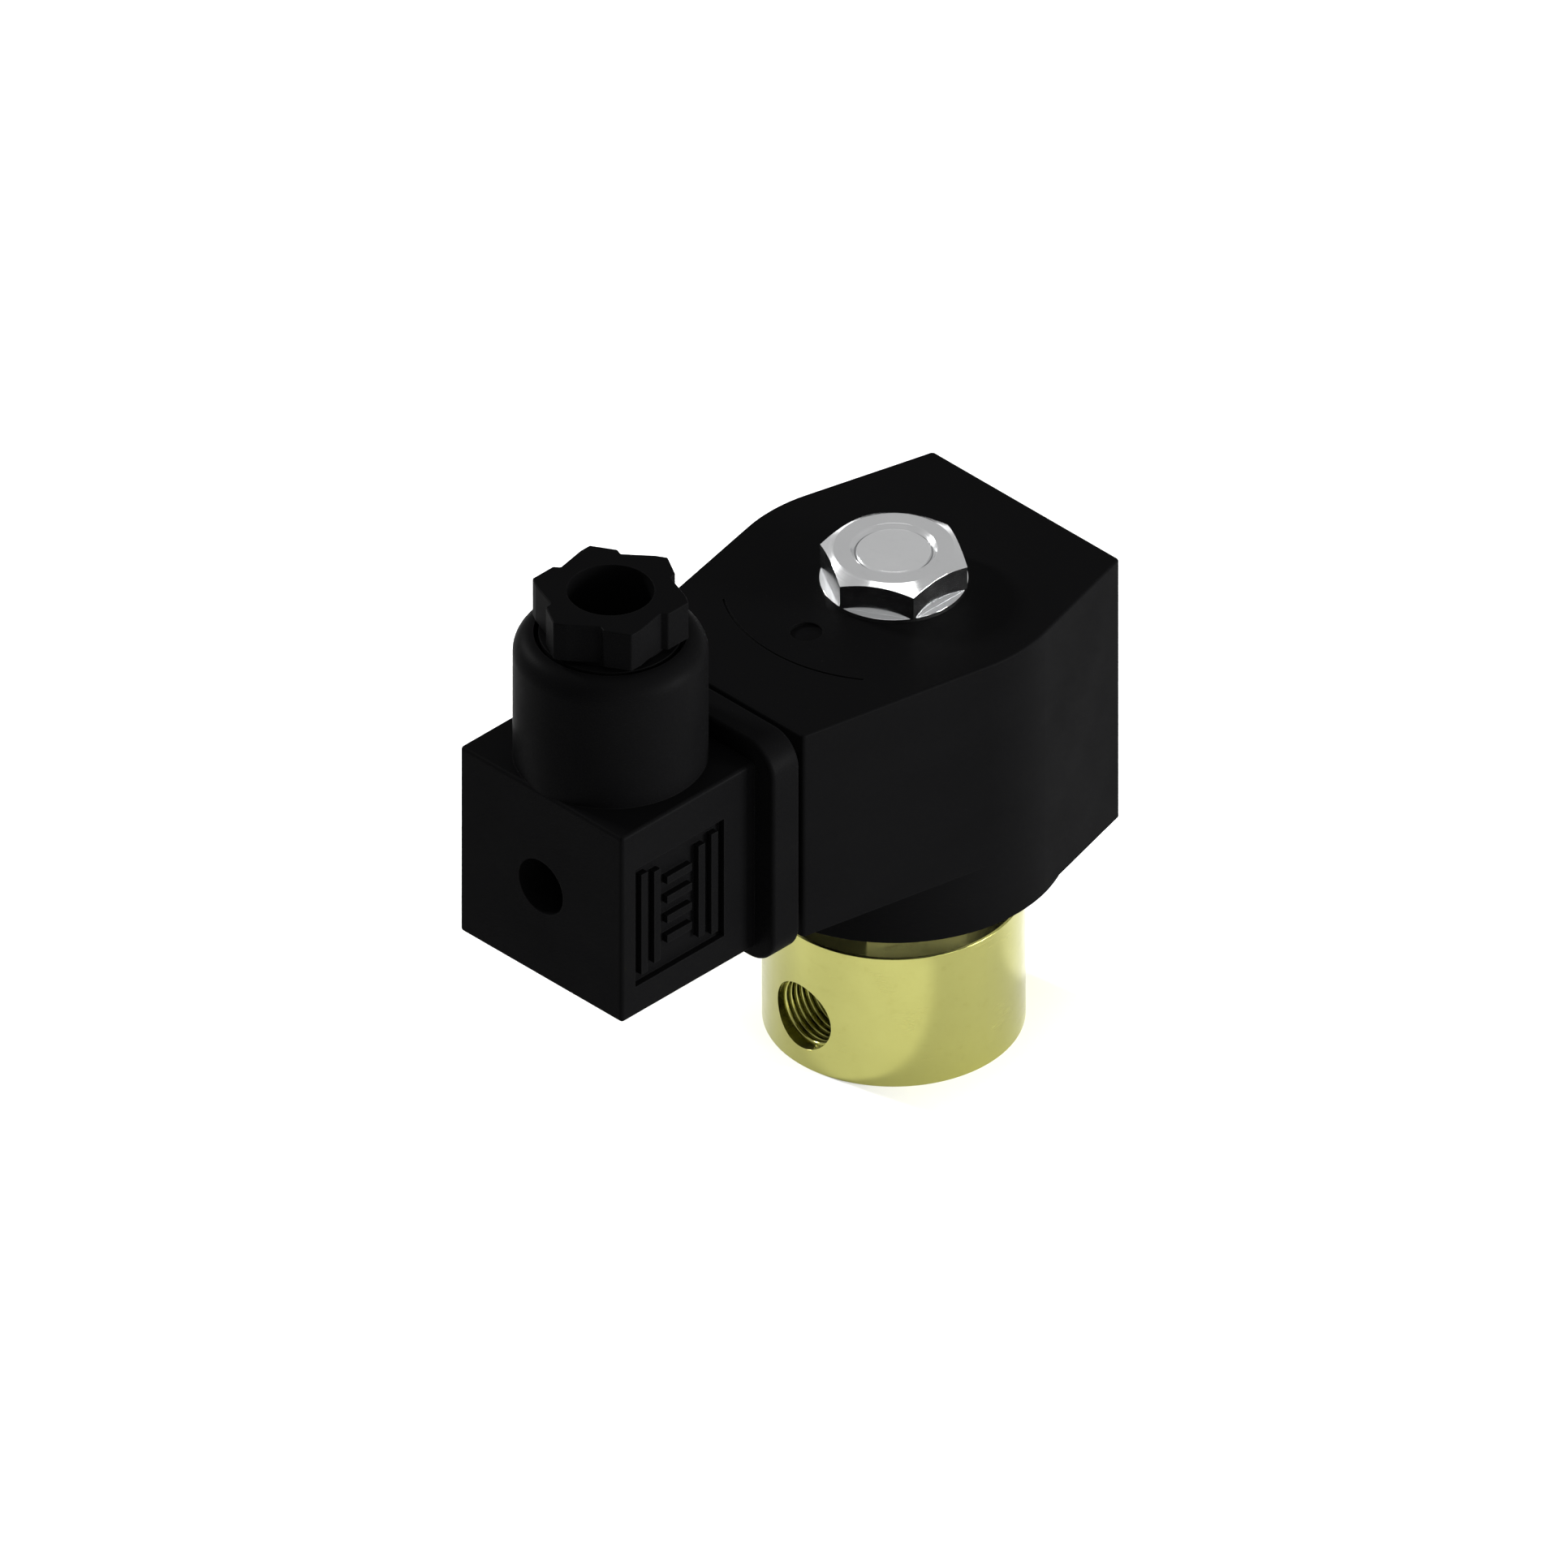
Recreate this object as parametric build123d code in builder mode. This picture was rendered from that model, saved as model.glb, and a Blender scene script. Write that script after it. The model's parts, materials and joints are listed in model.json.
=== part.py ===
from build123d import *

import os

# Direct-acting two-way solenoid valve: a round brass body with two threaded ports, a steel
# armature tube that stands on it, a moulded coil that swivels on the tube under a hex nut, and
# a square plug connector with a cable gland.
#
# Millimetres. +Z runs up the valve's axis from the centre of the base face. The two ports run
# along Y, and the connector stands out on the -Y side.

# ---- fits ----
FIT = 0.05                 # radial gap of one part lying in another
SLIDE = 0.08               # radial gap of the plunger in its tube
SEAM = 0.02                # gap between two faces that rest on each other
BREAK = 0.4                # small broken edges
LAP = 0.5                  # how far a cut runs into the space it opens

# ---- brass body ----
BODY_R = 16.0
BODY_TOP = 19.0
PORT_Z = 7.2               # height of the port axis
PORT_FACE = 15.3           # distance from the valve's axis at which the bore is a full circle
PORT_R = 4.57              # G 1/8 internal thread, at its pitch radius
PORT_DEPTH = 8.6
PASSAGE_R = 1.4
RISER_R = 1.6
RISER_Y = 4.8              # inlet riser, off the axis
CHAMBER_FLOOR = 12.6
SEAT_TOP = 14.0
SEAT_R = 2.4
ORIFICE_R = 1.2

# ---- armature tube, core and plunger ----
HEX_AF = 22.0
HEX_TOP = 24.4
SPIGOT_R = 8.5
SPIGOT_BOTTOM = 13.2
TUBE_R = 6.5
TUBE_TOP = 63.0
PLUNGER_R = 5.0
TUBE_BORE = PLUNGER_R + SLIDE
PLUNGER_BOTTOM = 14.6
PLUNGER_TOP = 42.2
LIFT = 1.8                 # plunger stroke
CORE_BOTTOM = PLUNGER_TOP + LIFT
STUD_R = 4.7               # M10 stud that holds the coil, at its thread's pitch radius
STUD_TOP = 68.3
RING_R = 3.7               # mean radius of the copper shading ring
RING_W = 1.0
RING_H = 1.5
SEAL_R = 3.2
SEAL_H = 2.5
SPRING_R = 2.1             # mean radius of the coil spring
SPRING_WIRE = 0.3
SPRING_TURNS = 9
SPRING_PLAY = 0.2
SPRING_POCKET = 12.0
GROOVE_R = 10.3            # O-ring groove under the tube's hex
GROOVE_DEPTH = 1.6
COIL_SEAL_R = 10.5         # flat ring on top of the hex

# ---- coil ----
COIL_R = 21.2
COIL_BOTTOM = 25.0
COIL_SKIRT = 25.6          # where the back block starts, just above the round boss
COIL_TOP = 63.74
BACK_FACE = 22.73
BACK_HALF = 16.0
FRONT_FACE = -30.9
FRONT_HALF = 15.3
FRONT_BOTTOM = 34.0        # the front block ends well above the round boss
CORNER = 0.6
COIL_EDGE = 0.35
COIL_BORE = TUBE_R + FIT
ARC_R = 21.0               # fine moulded line where the round part meets the front block
ARC_W = 0.3
ARC_DEPTH = 0.2
ARC_WINDOW = (24.0, 10.0)  # the line shows inside this much of the top
DIMPLE_DEPTH = 0.4
DIMPLE_Y = -15.0
DIMPLE_R = 2.0
YOKE_HALF = 17.6
YOKE_DEPTH = 16.0
YOKE_T = 2.6
YOKE_BOTTOM = 27.0
YOKE_TOP = 61.2
BOBBIN_R = 14.7
BOBBIN_WALL = 1.0
BOBBIN_FLANGE = 1.2
WINDING_R = 13.9
TAPE = 0.25

# ---- coil terminals, on the form-A pattern of the plug ----
PLUG_Z = 48.6              # centre of the contact pattern and of the fixing screw
CONTACT_R = 9.0
BLADE_W = 6.3
BLADE_T = 0.8
BLADE_TIP = -43.4
BLADE_ROOT = -24.5
BLADE_LEAD = 1.2           # chamfer at a blade's tip
INSERT_R = 2.6
INSERT_LEN = 6.0
SCREW_R = 1.5              # M3
SCREW_ROOT_R = 1.25
SCREW_THREAD = 9.0         # threaded length at the tip

# ---- coil nut and washer ----
WASHER_R = 9.03
WASHER_T = 0.6
WASHER_BORE = 5.05
NUT_AF = 16.0
NUT_TOP = 68.65
NUT_CHAMFER_R = 7.36
NUT_CORNER_DROP = 1.15     # how far the chamfer falls from the top face to the corners
NUT_BORE = STUD_R + FIT
NUT_MOUTH = 5.3

# ---- plug connector ----
BOX_HALF = 13.9
BOX_BOTTOM = 35.2
BOX_TOP = 62.6
BOX_END = -60.5
FLANGE_HALF = 17.15
FLANGE_BOTTOM = 33.4
FLANGE_TOP = 65.5
FLANGE_BACK = -37.8
FLANGE_FRONT = -33.2
FLANGE_TOP_R = 4.2
FLANGE_BOTTOM_R = 2.6
WALL = 2.0
EDGE = 0.5                 # rounded edges of the box and the flange
TOWER_R = 11.9
TOWER_Y = BOX_END + TOWER_R + FIT
TOWER_TOP = 80.6
TOWER_EDGE = 2.9
GLAND_BORE = 9.35
GLAND_SHOULDER = 64.2
THROAT_R = 6.0
RECESS_R = 3.8
RECESS_DEPTH = 8.0
SCREW_BOSS_R = 5.3
SCREW_BOSS_END = -47.0
SCREW_HOLE = 1.8
PANEL_Y = (-58.2, -43.0)
PANEL_Z = (39.5, 56.9)
PANEL_DEPTH = 0.9
RIB_W = 1.1
RIB_OUTER = 6.0            # distance of the upright ribs from the panel's middle
RIB_INNER = 3.8
RIB_MARGIN = 1.3           # clear height above and below the outer ribs
BARS = 4                   # short level ribs between the upright ones
BAR_LENGTH = 4.2
BAR_PITCH = 2.9
BLOCK_HALF = BOX_HALF - WALL - FIT
BLOCK_BACK = -46.4
SOCKET_W = 7.6
SOCKET_T = 3.2
SOCKET_FRONT = -34.6
SLOT_W = 6.8
SLOT_T = 1.1
SLOT_END = -43.9
TERMINAL_HEAD_R = 2.1
TERMINAL_HEAD_H = 1.8
DRIVER_SLOT = 0.6
GASKET_HALF = 13.0

# ---- cable gland ----
GROMMET_TOP = 72.2
CABLE_R = 5.0
GLAND_WASHER_T = 1.0
GLAND_NUT_BOTTOM = 81.4
GLAND_NUT_TOP = 86.7
GLAND_WASHER_BORE = 5.7
GLAND_HOLE = 5.35
GLAND_FLAT = 8.5           # distance of the nut's six sides from its axis
GRIP_DEPTH = 0.75          # saw-tooth notch in each side: falls slowly, then rises steeply
GRIP_START = -3.3
GRIP_LOWEST = 0.8
GRIP_END = 1.4
GRIP_ROUND = 0.3
GLAND_NUT_EDGE = 0.2
GLAND_SHANK_R = 8.75       # root of the gland thread
GLAND_NECK_R = 7.4

# ---- fixing screw ----
HEAD_R = 2.9
HEAD_H = 2.4
SCREW_SEAL_T = 0.8
SCREW_TIP = -25.9


def across(y):
    """Plane that faces -Y at the given Y, with its own x along X and its own y along Z."""
    return Plane.XZ.offset(-y)


def coil_outline(face_y, half_width):
    """The coil's round part, drawn out by tangents to a flat face."""
    sliver = 0.2
    inner_y = face_y - sliver / 2 if face_y > 0 else face_y + sliver / 2
    Circle(COIL_R)
    with Locations((0, inner_y)):
        Rectangle(2 * half_width, sliver)
    make_hull()


def contact_places():
    """Centres of the contacts across the plug, each with its blade's turn: two upright, one flat."""
    return ((-CONTACT_R, PLUG_Z, 90), (CONTACT_R, PLUG_Z, 90), (0, PLUG_Z - CONTACT_R, 0))


def contact_slots(width, thickness):
    """A rectangle at each of the three contacts, in the sketch that is open."""
    for x, z, turn in contact_places():
        with Locations((x, z)):
            Rectangle(width, thickness, rotation=turn)


# ---- valve_body: brass, turned, with a port on each side ----
with BuildPart() as valve_body:
    with BuildSketch():
        Circle(BODY_R)
    extrude(amount=BODY_TOP)
    chamfer(valve_body.faces().sort_by(Axis.Z)[-1].edges(), BREAK / 2)
    # threaded chamber for the armature tube, with the raised seat in the middle
    with BuildSketch(Plane.XY.offset(CHAMBER_FLOOR)):
        Circle(SPIGOT_R + FIT)
        Circle(SEAT_R, mode=Mode.SUBTRACT)
    extrude(amount=BODY_TOP - CHAMBER_FLOOR, mode=Mode.SUBTRACT)
    with BuildSketch(Plane.XY.offset(SEAT_TOP)):
        Circle(SPIGOT_R + FIT)
    extrude(amount=BODY_TOP - SEAT_TOP, mode=Mode.SUBTRACT)
    # O-ring groove under the hex
    with BuildSketch(Plane.XY.offset(BODY_TOP - GROOVE_DEPTH)):
        Circle(GROOVE_R)
    extrude(amount=GROOVE_DEPTH, mode=Mode.SUBTRACT)
    # a threaded port on each side, straight through the round wall
    for side in (-1, 1):
        with BuildSketch(Plane(origin=(0, side * BODY_R, PORT_Z), z_dir=(0, side, 0))):
            Circle(PORT_R)
        extrude(amount=PORT_FACE - BODY_R - PORT_DEPTH, mode=Mode.SUBTRACT)
    # inlet on -Y: across, then up into the chamber
    with BuildSketch(across(-RISER_Y)):
        with Locations((0, PORT_Z)):
            Circle(PASSAGE_R)
    extrude(amount=PORT_FACE - PORT_DEPTH - RISER_Y + LAP, mode=Mode.SUBTRACT)
    with BuildSketch(Plane.XY.offset(PORT_Z)):
        with Locations((0, -RISER_Y)):
            Circle(RISER_R)
    extrude(amount=CHAMBER_FLOOR - PORT_Z + LAP, mode=Mode.SUBTRACT)
    # outlet on +Y: down from the seat, then across
    with BuildSketch(across(0)):
        with Locations((0, PORT_Z)):
            Circle(PASSAGE_R)
    extrude(amount=-(PORT_FACE - PORT_DEPTH + LAP), mode=Mode.SUBTRACT)
    with BuildSketch(Plane.XY.offset(PORT_Z)):
        Circle(ORIFICE_R)
    extrude(amount=SEAT_TOP - PORT_Z + LAP, mode=Mode.SUBTRACT)

# ---- armature_tube: steel, screwed into the body by its hex ----
with BuildPart() as armature_tube:
    with BuildSketch(Plane.XY.offset(SPIGOT_BOTTOM)):
        Circle(SPIGOT_R)
    extrude(amount=BODY_TOP - SPIGOT_BOTTOM + SEAM)
    with BuildSketch(Plane.XY.offset(BODY_TOP + SEAM)):
        RegularPolygon(HEX_AF / 2, 6, major_radius=False)
    extrude(amount=HEX_TOP - BODY_TOP - SEAM)
    with BuildSketch(Plane.XY.offset(HEX_TOP)):
        Circle(TUBE_R)
    extrude(amount=TUBE_TOP - HEX_TOP)
    with BuildSketch(Plane.XY.offset(SPIGOT_BOTTOM)):
        Circle(TUBE_BORE)
    extrude(amount=TUBE_TOP - SPIGOT_BOTTOM, mode=Mode.SUBTRACT)

# ---- fixed_core: closes the tube and carries the stud for the coil nut ----
with BuildPart() as fixed_core:
    with BuildSketch(Plane.XY.offset(CORE_BOTTOM)):
        Circle(TUBE_BORE - FIT)
        Circle(RING_R + RING_W / 2 + SEAM, mode=Mode.SUBTRACT)
        Circle(RING_R - RING_W / 2 - SEAM)
    extrude(amount=RING_H + SEAM)
    with BuildSketch(Plane.XY.offset(CORE_BOTTOM + RING_H + SEAM)):
        Circle(TUBE_BORE - FIT)
    extrude(amount=TUBE_TOP - CORE_BOTTOM - RING_H - SEAM)
    with BuildSketch(Plane.XY.offset(TUBE_TOP)):
        Circle(STUD_R)
    extrude(amount=STUD_TOP - TUBE_TOP)
    chamfer(fixed_core.faces().sort_by(Axis.Z)[-1].edges(), BREAK / 2)

# ---- shading_ring: copper ring let into the core's lower face ----
with BuildPart() as shading_ring:
    with BuildSketch(Plane.XY.offset(CORE_BOTTOM)):
        Circle(RING_R + RING_W / 2)
        Circle(RING_R - RING_W / 2, mode=Mode.SUBTRACT)
    extrude(amount=RING_H)

# ---- tube_o_ring: seals the tube in the body ----
with BuildPart() as tube_o_ring:
    ring_section = GROOVE_DEPTH / 2 - SEAM
    with BuildSketch(Plane.XZ):
        with Locations((GROOVE_R - ring_section - FIT, BODY_TOP - GROOVE_DEPTH / 2)):
            Circle(ring_section)
    revolve(axis=Axis.Z)

# ---- coil_lower_seal: flat ring between the tube's hex and the coil ----
with BuildPart() as coil_lower_seal:
    with BuildSketch(Plane.XY.offset(HEX_TOP + SEAM)):
        Circle(COIL_SEAL_R)
        Circle(TUBE_R + FIT, mode=Mode.SUBTRACT)
    extrude(amount=COIL_BOTTOM - HEX_TOP - 2 * SEAM)

# ---- plunger: slides in the tube and carries the seat seal ----
with BuildPart() as plunger:
    with BuildSketch(Plane.XY.offset(PLUNGER_BOTTOM)):
        Circle(PLUNGER_R)
    extrude(amount=PLUNGER_TOP - PLUNGER_BOTTOM)
    chamfer(plunger.edges().filter_by(GeomType.CIRCLE), BREAK)
    with BuildSketch(Plane.XY.offset(PLUNGER_TOP)):
        Circle(SPRING_R + SPRING_WIRE + SPRING_PLAY)
    extrude(amount=-SPRING_POCKET, mode=Mode.SUBTRACT)
    with BuildSketch(Plane.XY.offset(PLUNGER_BOTTOM)):
        Circle(SEAL_R + FIT)
    extrude(amount=SEAL_H - (PLUNGER_BOTTOM - SEAT_TOP) + SEAM, mode=Mode.SUBTRACT)

# ---- plunger_seal: elastomer disc that closes the seat ----
with BuildPart() as plunger_seal:
    with BuildSketch(Plane.XY.offset(SEAT_TOP + SEAM)):
        Circle(SEAL_R)
    extrude(amount=SEAL_H - SEAM)

# ---- plunger_spring: pushes the plunger down from the core ----
with BuildPart() as plunger_spring:
    spring_low = PLUNGER_TOP - SPRING_POCKET + SPRING_WIRE + SEAM
    spring_high = CORE_BOTTOM - SPRING_WIRE - SEAM
    spring_height = spring_high - spring_low
    with BuildLine() as spring_path:
        Helix(spring_height / SPRING_TURNS, spring_height, SPRING_R, center=(0, 0, spring_low))
    with BuildSketch(Plane(origin=spring_path.line @ 0, z_dir=spring_path.line % 0)):
        Circle(SPRING_WIRE)
    sweep()

# ---- coil_housing: the moulded case ----
with BuildPart() as coil_housing:
    with BuildSketch(Plane.XY.offset(COIL_SKIRT)):
        coil_outline(BACK_FACE, BACK_HALF)
    extrude(amount=COIL_TOP - COIL_SKIRT)
    with BuildSketch(Plane.XY.offset(FRONT_BOTTOM)):
        coil_outline(FRONT_FACE, FRONT_HALF)
    extrude(amount=COIL_TOP - FRONT_BOTTOM)
    corners = coil_housing.edges().filter_by(Axis.Z).filter_by(
        lambda edge: abs(edge.center().Y) > COIL_R + CORNER
    )
    fillet(corners, CORNER)
    with BuildSketch(Plane.XY.offset(COIL_BOTTOM)):
        Circle(COIL_R)
    extrude(amount=COIL_SKIRT - COIL_BOTTOM)
    fillet(coil_housing.faces().sort_by(Axis.Z)[-1].outer_wire().edges(), COIL_EDGE)
    # the bore for the tube, the room for the yoke and the room for the bobbin
    with BuildSketch(Plane.XY.offset(COIL_BOTTOM)):
        Circle(COIL_BORE)
    extrude(amount=COIL_TOP - COIL_BOTTOM, mode=Mode.SUBTRACT)
    with BuildSketch(Plane.XY.offset(YOKE_BOTTOM - SEAM)):
        Rectangle(2 * (YOKE_HALF + FIT), YOKE_DEPTH + 2 * FIT)
    extrude(amount=YOKE_TOP - YOKE_BOTTOM + 2 * SEAM, mode=Mode.SUBTRACT)
    with BuildSketch(Plane.XY.offset(YOKE_BOTTOM + YOKE_T)):
        Circle(BOBBIN_R + FIT)
    extrude(amount=YOKE_TOP - YOKE_BOTTOM - 2 * YOKE_T, mode=Mode.SUBTRACT)
    # pockets for the contact blades and the screw insert in the front face
    with BuildSketch(across(FRONT_FACE)):
        contact_slots(BLADE_W + 2 * SEAM, BLADE_T + 2 * SEAM)
    extrude(amount=FRONT_FACE - BLADE_ROOT - SEAM, mode=Mode.SUBTRACT)
    with BuildSketch(across(FRONT_FACE)):
        with Locations((0, PLUG_Z)):
            Circle(INSERT_R + SEAM)
    extrude(amount=-INSERT_LEN - SEAM, mode=Mode.SUBTRACT)
    # moulded line and gate dimple on the top
    with BuildSketch(Plane.XY.offset(COIL_TOP)):
        Circle(ARC_R + ARC_W / 2)
        Circle(ARC_R - ARC_W / 2, mode=Mode.SUBTRACT)
        with Locations((0, -ARC_R)):
            Rectangle(*ARC_WINDOW, mode=Mode.INTERSECT)
    extrude(amount=-ARC_DEPTH, mode=Mode.SUBTRACT)
    with BuildSketch(Plane.XY.offset(COIL_TOP)):
        with Locations((0, DIMPLE_Y)):
            Circle(DIMPLE_R)
    extrude(amount=-DIMPLE_DEPTH, mode=Mode.SUBTRACT)

# ---- yoke_frame: steel loop that carries the field round the winding ----
with BuildPart() as yoke_frame:
    with BuildSketch(Plane.XY.offset(YOKE_BOTTOM)):
        Rectangle(2 * YOKE_HALF, YOKE_DEPTH)
        Circle(COIL_BORE, mode=Mode.SUBTRACT)
    extrude(amount=YOKE_TOP - YOKE_BOTTOM)
    with BuildSketch(Plane.XY.offset(YOKE_BOTTOM + YOKE_T)):
        Rectangle(2 * (YOKE_HALF - YOKE_T), YOKE_DEPTH + LAP)
    extrude(amount=YOKE_TOP - YOKE_BOTTOM - 2 * YOKE_T, mode=Mode.SUBTRACT)

# ---- coil_bobbin: spool between the two yoke plates ----
bobbin_low = YOKE_BOTTOM + YOKE_T + SEAM
bobbin_high = YOKE_TOP - YOKE_T - SEAM
with BuildPart() as coil_bobbin:
    with BuildSketch(Plane.XY.offset(bobbin_low)):
        Circle(BOBBIN_R)
    extrude(amount=BOBBIN_FLANGE)
    with BuildSketch(Plane.XY.offset(bobbin_low)):
        Circle(COIL_BORE + BOBBIN_WALL)
    extrude(amount=bobbin_high - bobbin_low)
    with BuildSketch(Plane.XY.offset(bobbin_high)):
        Circle(BOBBIN_R)
    extrude(amount=-BOBBIN_FLANGE)
    with BuildSketch(Plane.XY.offset(bobbin_low)):
        Circle(COIL_BORE)
    extrude(amount=bobbin_high - bobbin_low, mode=Mode.SUBTRACT)

# ---- coil_winding: the enamelled copper wire, as one body ----
winding_low = bobbin_low + BOBBIN_FLANGE + SEAM
winding_height = bobbin_high - bobbin_low - 2 * (BOBBIN_FLANGE + SEAM)
with BuildPart() as coil_winding:
    with BuildSketch(Plane.XY.offset(winding_low)):
        Circle(WINDING_R)
        Circle(COIL_BORE + BOBBIN_WALL + SEAM, mode=Mode.SUBTRACT)
    extrude(amount=winding_height)

# ---- winding_tape: insulating wrap over the wire ----
with BuildPart() as winding_tape:
    with BuildSketch(Plane.XY.offset(winding_low)):
        Circle(WINDING_R + SEAM + TAPE)
        Circle(WINDING_R + SEAM, mode=Mode.SUBTRACT)
    extrude(amount=winding_height)

# ---- power_blades: the two upright contacts ----
with BuildPart() as power_blades:
    with BuildSketch(across(BLADE_ROOT)):
        with Locations((-CONTACT_R, PLUG_Z), (CONTACT_R, PLUG_Z)):
            Rectangle(BLADE_T, BLADE_W)
    extrude(amount=BLADE_ROOT - BLADE_TIP)
    chamfer(power_blades.faces().group_by(Axis.Y)[0].edges().filter_by(Axis.X), BLADE_LEAD)

# ---- earth_blade: the flat contact below them ----
with BuildPart() as earth_blade:
    with BuildSketch(across(BLADE_ROOT)):
        with Locations((0, PLUG_Z - CONTACT_R)):
            Rectangle(BLADE_W, BLADE_T)
    extrude(amount=BLADE_ROOT - BLADE_TIP)
    chamfer(earth_blade.faces().sort_by(Axis.Y)[0].edges().filter_by(Axis.Z), BLADE_LEAD)

# ---- screw_insert: threaded bush for the fixing screw ----
with BuildPart() as screw_insert:
    with BuildSketch(across(FRONT_FACE)):
        with Locations((0, PLUG_Z)):
            Circle(INSERT_R)
            Circle(SCREW_R + FIT, mode=Mode.SUBTRACT)
    extrude(amount=-INSERT_LEN)

# ---- coil_washer: plain washer under the coil nut ----
with BuildPart() as coil_washer:
    with BuildSketch(Plane.XY.offset(COIL_TOP + SEAM)):
        Circle(WASHER_R)
        Circle(WASHER_BORE, mode=Mode.SUBTRACT)
    extrude(amount=WASHER_T)

# ---- coil_nut: M10 hex nut, chamfered on its upper face ----
with BuildPart() as coil_nut:
    nut_bottom = COIL_TOP + WASHER_T + 2 * SEAM
    nut_corner_r = NUT_AF / 3**0.5
    with BuildSketch(Plane.XY.offset(nut_bottom)):
        RegularPolygon(NUT_AF / 2, 6, major_radius=False, rotation=30)
    extrude(amount=NUT_TOP - nut_bottom)
    with BuildSketch(Plane.XZ):
        with BuildLine():
            Polyline(
                (0, nut_bottom),
                (nut_corner_r, nut_bottom),
                (nut_corner_r, NUT_TOP - NUT_CORNER_DROP),
                (NUT_CHAMFER_R, NUT_TOP),
                (0, NUT_TOP),
                close=True,
            )
        make_face()
    revolve(axis=Axis.Z, mode=Mode.INTERSECT)
    with BuildSketch(Plane.XY.offset(nut_bottom)):
        Circle(NUT_BORE)
    extrude(amount=NUT_TOP - nut_bottom, mode=Mode.SUBTRACT)
    mouth_edge = coil_nut.faces().sort_by(Axis.Z)[-1].edges().sort_by(SortBy.RADIUS)[0]
    chamfer(mouth_edge, NUT_MOUTH - NUT_BORE)

# ---- connector_housing: square box with a flange at its mouth and a round gland tower ----
box_middle = (BOX_BOTTOM + BOX_TOP) / 2
box_height = BOX_TOP - BOX_BOTTOM
with BuildPart() as connector_housing:
    with BuildSketch(across(FLANGE_FRONT)) as flange_outline:
        with Locations((0, (FLANGE_BOTTOM + FLANGE_TOP) / 2)):
            Rectangle(2 * FLANGE_HALF, FLANGE_TOP - FLANGE_BOTTOM)
        fillet(flange_outline.vertices().group_by(Axis.Z)[-1], FLANGE_TOP_R)
        fillet(flange_outline.vertices().group_by(Axis.Z)[0], FLANGE_BOTTOM_R)
    extrude(amount=FLANGE_FRONT - FLANGE_BACK)
    fillet(connector_housing.faces().filter_by(Axis.Y).edges(), EDGE)
    with BuildSketch(across(FLANGE_BACK)):
        with Locations((0, box_middle)):
            Rectangle(2 * BOX_HALF, box_height)
    extrude(amount=FLANGE_BACK - BOX_END)
    box_length = FLANGE_BACK - BOX_END
    long_edges = connector_housing.edges().filter_by(Axis.Y).filter_by(
        lambda edge: edge.length > box_length / 2
    )
    fillet(long_edges + connector_housing.faces().sort_by(Axis.Y)[0].edges(), EDGE)
    with BuildSketch(Plane.XY.offset(BOX_TOP - WALL)):
        with Locations((0, TOWER_Y)):
            Circle(TOWER_R)
    extrude(amount=TOWER_TOP - BOX_TOP + WALL)
    fillet(connector_housing.faces().sort_by(Axis.Z)[-1].edges(), TOWER_EDGE)
    # hollow inside, open at the mouth
    with BuildSketch(across(FLANGE_FRONT)):
        with Locations((0, box_middle)):
            Rectangle(2 * (BOX_HALF - WALL), box_height - 2 * WALL)
    extrude(amount=FLANGE_FRONT - BOX_END - WALL, mode=Mode.SUBTRACT)
    # gland bore with its shoulder, and the cable's way down into the box
    with BuildSketch(Plane.XY.offset(GLAND_SHOULDER)):
        with Locations((0, TOWER_Y)):
            Circle(GLAND_BORE)
    extrude(amount=TOWER_TOP - GLAND_SHOULDER, mode=Mode.SUBTRACT)
    with BuildSketch(Plane.XY.offset(BOX_TOP - WALL)):
        with Locations((0, TOWER_Y)):
            Circle(THROAT_R)
    extrude(amount=GLAND_SHOULDER - BOX_TOP + WALL, mode=Mode.SUBTRACT)
    # boss and recess for the fixing screw
    with BuildSketch(across(SCREW_BOSS_END)):
        with Locations((0, PLUG_Z)):
            Circle(SCREW_BOSS_R)
    extrude(amount=SCREW_BOSS_END - BOX_END)
    with BuildSketch(across(BOX_END + RECESS_DEPTH)):
        with Locations((0, PLUG_Z)):
            Circle(RECESS_R)
    extrude(amount=RECESS_DEPTH, mode=Mode.SUBTRACT)
    with BuildSketch(across(SCREW_BOSS_END)):
        with Locations((0, PLUG_Z)):
            Circle(SCREW_HOLE)
    extrude(amount=SCREW_BOSS_END - BOX_END, mode=Mode.SUBTRACT)
    # sunk panel on each side wall, with ribs as high as the wall
    panel_middle = ((PANEL_Y[0] + PANEL_Y[1]) / 2, (PANEL_Z[0] + PANEL_Z[1]) / 2)
    panel_size = (PANEL_Y[1] - PANEL_Y[0], PANEL_Z[1] - PANEL_Z[0])
    for side in (-1, 1):
        with BuildSketch(Plane.YZ.offset(side * BOX_HALF)):
            with Locations(panel_middle):
                Rectangle(*panel_size)
                with Locations((-RIB_OUTER, 0), (RIB_OUTER, 0)):
                    Rectangle(RIB_W, panel_size[1] - 2 * RIB_MARGIN, mode=Mode.SUBTRACT)
                with Locations((-RIB_INNER, 0), (RIB_INNER, 0)):
                    Rectangle(RIB_W, panel_size[1] - 3 * RIB_MARGIN, mode=Mode.SUBTRACT)
                with GridLocations(0, BAR_PITCH, 1, BARS):
                    Rectangle(BAR_LENGTH, RIB_W, mode=Mode.SUBTRACT)
        extrude(amount=-side * PANEL_DEPTH, mode=Mode.SUBTRACT)

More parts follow.
